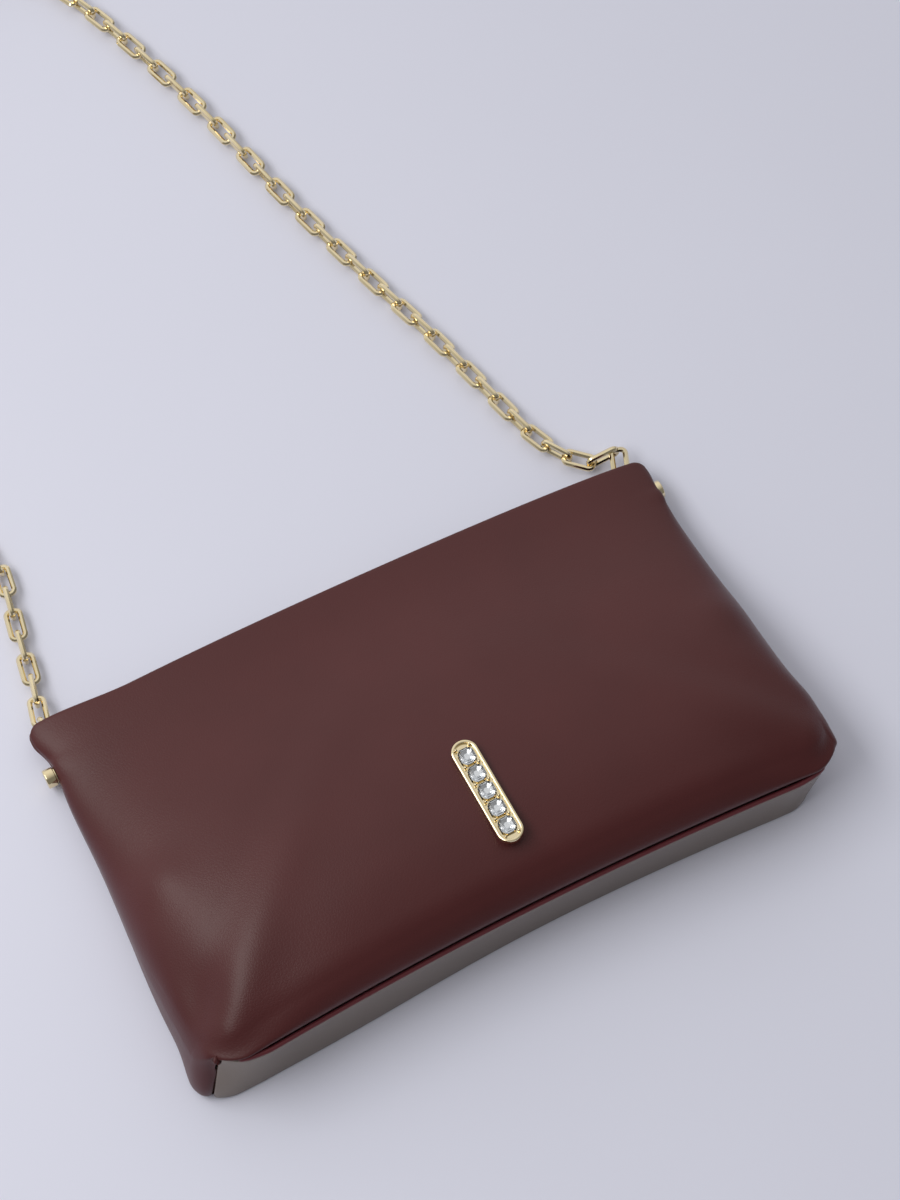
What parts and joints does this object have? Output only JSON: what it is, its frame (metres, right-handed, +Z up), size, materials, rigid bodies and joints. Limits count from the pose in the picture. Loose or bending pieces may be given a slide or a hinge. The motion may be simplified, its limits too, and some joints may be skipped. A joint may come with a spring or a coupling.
{
  "type": "clutch bag",
  "caption": "Small soft leather clutch bag with a magnetic mouth, side studs, a jewelled bar on the padded front and a chain shoulder strap, lying on its back.",
  "frame": {"origin": "on the surface the bag lies on, under the middle of the bag without its chain", "axes": "+X across the bag, +Y from the base to the mouth, +Z up, out of the front panel"},
  "size_m": [0.2463, 0.4125, 0.0405],
  "materials": {
    "leather": "smooth oxblood nappa, semi-gloss",
    "gold_fittings": "polished pale gold plate",
    "chain": "polished pale gold tone",
    "lining": "plain woven lining",
    "padding": "foam",
    "steel": "plain",
    "crystal": "clear step-cut",
    "board": "fibre board"
  },
  "bodies": {
    "back": {"stud_head_left": "gold_fittings", "stud_head_right": "gold_fittings", "eye_bolt_left": "gold_fittings", "eye_bolt_right": "gold_fittings", "snap_socket": "gold_fittings", "back_panel": "leather", "back_facing": "leather", "base_panel": "leather", "base_piping_front": "leather", "base_piping_back": "leather", "gusset_left": "leather", "gusset_right": "leather", "back_lining": "lining", "slip_pocket": "lining", "back_interlining": "padding", "snap_magnet": "steel", "washer_left": "steel", "washer_right": "steel", "base_board": "board", "chain_strap": "chain"},
    "front": {"front_panel": "leather", "front_padding": "padding", "front_lining": "lining", "front_facing": "leather", "snap_stud": "gold_fittings", "ornament_bar": "gold_fittings", "ornament_rivet_1": "gold_fittings", "ornament_rivet_2": "gold_fittings", "ornament_backing": "steel", "crystal_1": "crystal", "crystal_2": "crystal", "crystal_3": "crystal", "crystal_4": "crystal", "crystal_5": "crystal"},
    "link_left": {"end_link_left": "chain"},
    "link_right": {"end_link_right": "chain"}
  },
  "joints": [
    {"name": "mouth_open", "type": "hinge", "parent": "back", "child": "front", "pos_m": [0, -0.0632, 0.0235], "axis": [1, 0, 0], "range_deg": [0, 25]},
    {"name": "end_link_left_swing", "type": "hinge", "parent": "back", "child": "link_left", "pos_m": [-0.0983, 0.05185, 0.0056], "axis": [0, 0, 1], "range_deg": [-35, 5]},
    {"name": "end_link_right_swing", "type": "hinge", "parent": "back", "child": "link_right", "pos_m": [0.0983, 0.05185, 0.0056], "axis": [0, 0, 1], "range_deg": [-5, 35]}
  ]
}
